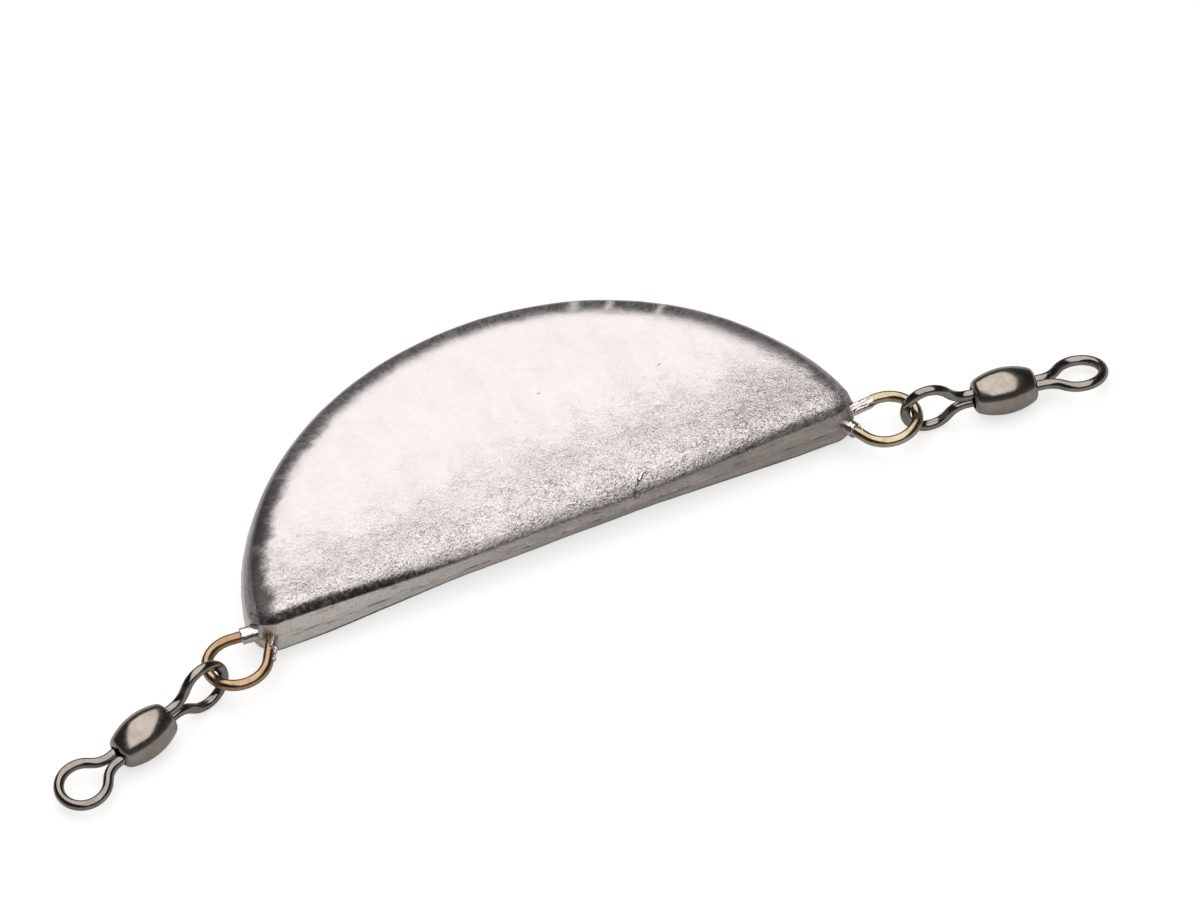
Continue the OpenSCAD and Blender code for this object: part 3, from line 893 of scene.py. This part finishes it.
# Each metal: its colour, its worn colour, roughness, how far that varies, and the size of its patches
metalLooks = {"copperedWire": ((0.47, 0.325, 0.21, 1.0), (0.35, 0.225, 0.135, 1.0), 0.2, 0.04, 1.6),
              "brassyWire": ((0.54, 0.455, 0.32, 1.0), (0.42, 0.335, 0.215, 1.0), 0.18, 0.04, 1.6),
              "blackNickel": ((0.33, 0.305, 0.285, 1.0), (0.25, 0.23, 0.21, 1.0), 0.14, 0.03, 1.6),
              "satinNickel": ((0.4, 0.355, 0.32, 1.0), (0.33, 0.29, 0.255, 1.0), 0.19, 0.03, 1.2)}
# All metals: eases of the patches and the gloss, and noise sizes as shares of the patches' size
metalWear = {"patch": (0.35, 0.7), "gloss": (0.3, 0.7), "glossSize": 0.4, "bumpSize": 0.25, "bumpDepth": 0.004,
             "bumpStrength": 0.4}


def metalMaterial(name, colour, worn, roughness, spread, patchSize):
    material, tree, shader = newMaterial(name)
    place = put(tree, "ShaderNodeTexCoord").outputs["Object"]
    patch = ease(grain(place, patchSize, 4.0, 0.6), *metalWear["patch"])
    rough = ease(grain(place, patchSize * metalWear["glossSize"], 3.0), *metalWear["gloss"],
                 roughness - spread, roughness + spread)
    bump = get("ShaderNodeBump", {"Height": grain(place, patchSize * metalWear["bumpSize"]),
                                  "Distance": metalWear["bumpDepth"] * mm, "Strength": metalWear["bumpStrength"]})
    feed(shader, {"Base Color": tint(patch, colour, worn), "Roughness": rough, "Normal": bump, "Metallic": 1.0})
    return material


lead = castLeadMaterial()
freshLead = freshLeadMaterial()
metals = {name: metalMaterial(name, *look) for name, look in metalLooks.items()}
print("sinker: materials made")


# Building the pieces

def buildWire(name, eye, matrix, tree, body, node):
    path = pathObject(name + "Path", placed(bentPath(eye), matrix))
    piece = shapeWith(path, tree, name, {"Wire Radius": eye["wire"] / 2 * mm})
    tidyMesh(piece)
    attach(piece, body)
    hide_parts(node)


def buildWires():
    nickelTree = wireTree(metals["blackNickel"])
    for name, side, bronze in (("left", -1, "copperedWire"), ("right", 1, "brassyWire")):
        bronzeTree = wireTree(metals[bronze])
        buildWire(name + "CastEye", castEye, castEyeFrame(side), bronzeTree, "root",
                  name + "_cast_eye")
        swivel = swivelFrame(name)
        inward = Matrix.Translation((-swivelEye["reach"], 0, 0))
        standing = swivel @ rotation(90.0, "X") @ inward
        lying = swivel @ rotation(swivelRoll[name], "X") @ rotation(180.0, "Z") @ inward
        for end, matrix in (("inner", standing), ("outer", lying)):
            node = name + "_" + end + "_eye"
            buildWire(name + end.title() + "Eye", swivelEye, matrix, nickelTree, node, node)


def barrelSection():
    # Closed loop of (along, radius): the outside from hole to hole, then the hollow back
    step, shoulderX = barrel["radius"] - barrel["land"], barrel["length"] / 2 - barrel["shoulder"]
    sideRadius = (step ** 2 + shoulderX ** 2 - barrel["shoulder"] ** 2) / (2 * (step - barrel["shoulder"]))
    reach, rows = degrees(atan2(shoulderX, sideRadius - step)), barrel["rows"]

    def half(inset):
        points = []
        radius = barrel["shoulder"] - inset
        hole = degrees(asin((barrel["bore"] - barrel["land"]) / radius))
        for index in range(rows + 1):
            angle = hole + (90.0 - reach - hole) * index / rows
            points.append(onCircle(shoulderX, barrel["land"], radius, angle))
        for index in range(1, rows + 1):
            angle = 90.0 - reach * (1 - index / rows)
            points.append(onCircle(0.0, barrel["radius"] - sideRadius, sideRadius - inset, angle))
        return points

    def whole(inset):
        right = half(inset)
        return right + [Vector((-point.x, point.y)) for point in right[-2::-1]]

    return whole(0.0) + whole(barrel["wall"])[::-1]


def barrelTree(material):
    tree, start, end = newGeometryTree("turnedBarrel", {"Around": 128, "Along": 260})
    # A flat grid, of which one side goes round the axis and the other along the section
    grid = get("GeometryNodeMeshGrid", {"Size X": 1.0, "Size Y": 1.0, "Vertices X": plus(start["Around"], 1.0),
                                        "Vertices Y": plus(start["Along"], 1.0)})
    place = split(put(tree, "GeometryNodeInputPosition").outputs[0])
    turn = times(plus(place[0], 0.5), tau)
    factor = plus(place[1], 0.5)
    sample = put(tree, "GeometryNodeSampleCurve", {"Curves": start["Geometry"], "Factor": factor}, mode="FACTOR")
    along, radius, _ = split(sample.outputs["Position"])
    revolved = joined(along, times(radius, calc("COSINE", turn)), times(radius, calc("SINE", turn)))
    moved = get("GeometryNodeSetPosition", {"Geometry": grid, "Position": revolved})
    finishTree(moved, end, material)
    return tree


def buildBarrels():
    tree = barrelTree(metals["satinNickel"])
    for name in ("left", "right"):
        section = pathObject(name + "Section", placed(barrelSection(), Matrix()), cyclic=True)
        piece = shapeWith(section, tree, name + "Barrel")
        matrix = swivelFrame(name)
        matrix.translation *= mm
        piece.data.transform(matrix)
        tidyMesh(piece)
        node = name + "_barrel"
        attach(piece, node)
        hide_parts(node)


def recessCutters():
    # Two half cones a side, so that the ridge between the legs stands
    cutters = []
    flare = recess["mouth"] - recess["floor"]
    for side in (-1, 1):
        bottom = castEye["out"] + recess["depth"] * (1.0 if side < 0 else recess["rightFill"])
        for half in (-1, 1):
            work = bmesh.new()
            bmesh.ops.create_cone(work, cap_ends=True, segments=recess["sides"], radius1=recess["floor"] * mm,
                                  radius2=(recess["floor"] + 2 * flare) * mm, depth=2 * recess["depth"] * mm)
            turned = (castEyeFrame(side) @ Matrix.Translation((bottom - recess["depth"], 0, 0))
                      @ rotation(-90.0, "Y"))
            turned.translation *= mm
            bmesh.ops.bisect_plane(work, geom=work.verts[:] + work.edges[:] + work.faces[:], clear_inner=True,
                                   plane_co=(0, half * recess["ridge"] / 2 * mm, 0), plane_no=(0, half, 0))
            bmesh.ops.holes_fill(work, edges=work.edges[:], sides=0)
            bmesh.ops.transform(work, matrix=turned, verts=work.verts)
            bmesh.ops.recalc_face_normals(work, faces=work.faces)
            cutters.append(cutterObject(work))
    return cutters


def settled(piece, x, y):
    # Where a point seen from above lies on a piece, in metres, and the normal there
    _, place, normal, _ = piece.ray_cast(Vector((x, y, 2 * casting["thickness"])) * mm, Vector((0, 0, -1)))
    return place, normal


def nickCutters(piece):
    cutters = []
    for (x, y), half, turn in nicks.values():
        place, _ = settled(piece, x, y)
        work = bmesh.new()
        bmesh.ops.create_icosphere(work, subdivisions=nickShape["fineness"], radius=1.0)
        for point in work.verts:
            hollow = noise.noise(point.co * nickShape["scale"] + Vector((x, y, nickShape["seed"])))
            point.co *= 1.0 + hollow * nickShape["uneven"]
        matrix = (Matrix.Translation(place) @ rotation(turn, "Z")
                  @ Matrix.Diagonal((*[size * mm for size in half], 1)))
        bmesh.ops.transform(work, matrix=matrix, verts=work.verts)
        cutters.append(cutterObject(work))
    return cutters


def cutterObject(work):
    mesh = bpy.data.meshes.new("cutter")
    work.to_mesh(mesh)
    work.free()
    return newObject("cutter", mesh)


def cutAway(piece, cutters, name):
    for cutter in cutters:
        cut = piece.modifiers.new("cut", "BOOLEAN")
        cut.operation, cut.solver, cut.object = "DIFFERENCE", "MANIFOLD", cutter
    cast = bakedMesh(piece, name)
    for cutter in cutters:
        bpy.data.objects.remove(cutter)
    return cast


def buildCasting():
    skinned = shapeWith(castingBlank(), skinTree(lead), "leadSkin")
    cast = cutAway(skinned, recessCutters() + nickCutters(skinned), "leadCasting")
    cast.data.materials.clear()
    cast.data.materials.append(lead)
    tidyMesh(cast)
    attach(cast, "root")
    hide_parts("lead_body")
    return cast


def buildSleeves():
    tree = sleeveTree(freshLead)
    for name, sleeve in sleeves.items():
        matrix = castEyeFrame(sleeve["side"])
        path = pathObject(name + "Path", placed(sleevePath(sleeve), matrix))
        values = {label: value for label, value in sleeve.items() if label[0].isupper()}
        addLead(shapeWith(path, tree, name + "Sleeve", values))


def buildDrops():
    tree = beadTree(freshLead)
    for name, drops in beads.items():
        matrix = castEyeFrame(-1 if name == "left" else 1)
        seeds = meshObject(name + "Seeds", [(matrix @ Vector(place)) * mm for place, _ in drops], [])
        sizes = seeds.data.attributes.new("dropRadius", "FLOAT", "POINT")
        sizes.data.foreach_set("value", [radius * mm for _, radius in drops])
        addLead(shapeWith(seeds, tree, name + "Drops"))


def buildWrinkles(cast):
    # A fold's middle lies under the skin, so that only its back shows
    tree = wrinkleTree(freshLead)
    for name, (points, radius) in wrinkles.items():
        landed = [settled(cast, x, y) for x, y in points]
        middles = [place - normal * radius * foldShape["buried"] * mm for place, normal in landed]
        path = pathObject(name + "Path", middles)
        addLead(shapeWith(path, tree, name, {"Fold Radius": radius * mm}))


def addLead(piece):
    tidyMesh(piece)
    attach(piece, "root")


buildWires()
print("sinker: wires bent")
buildBarrels()
print("sinker: barrels turned")
leadCasting = buildCasting()
print("sinker: casting poured")
buildSleeves()
buildDrops()
buildWrinkles(leadCasting)
print("sinker: flash, drops and folds added")
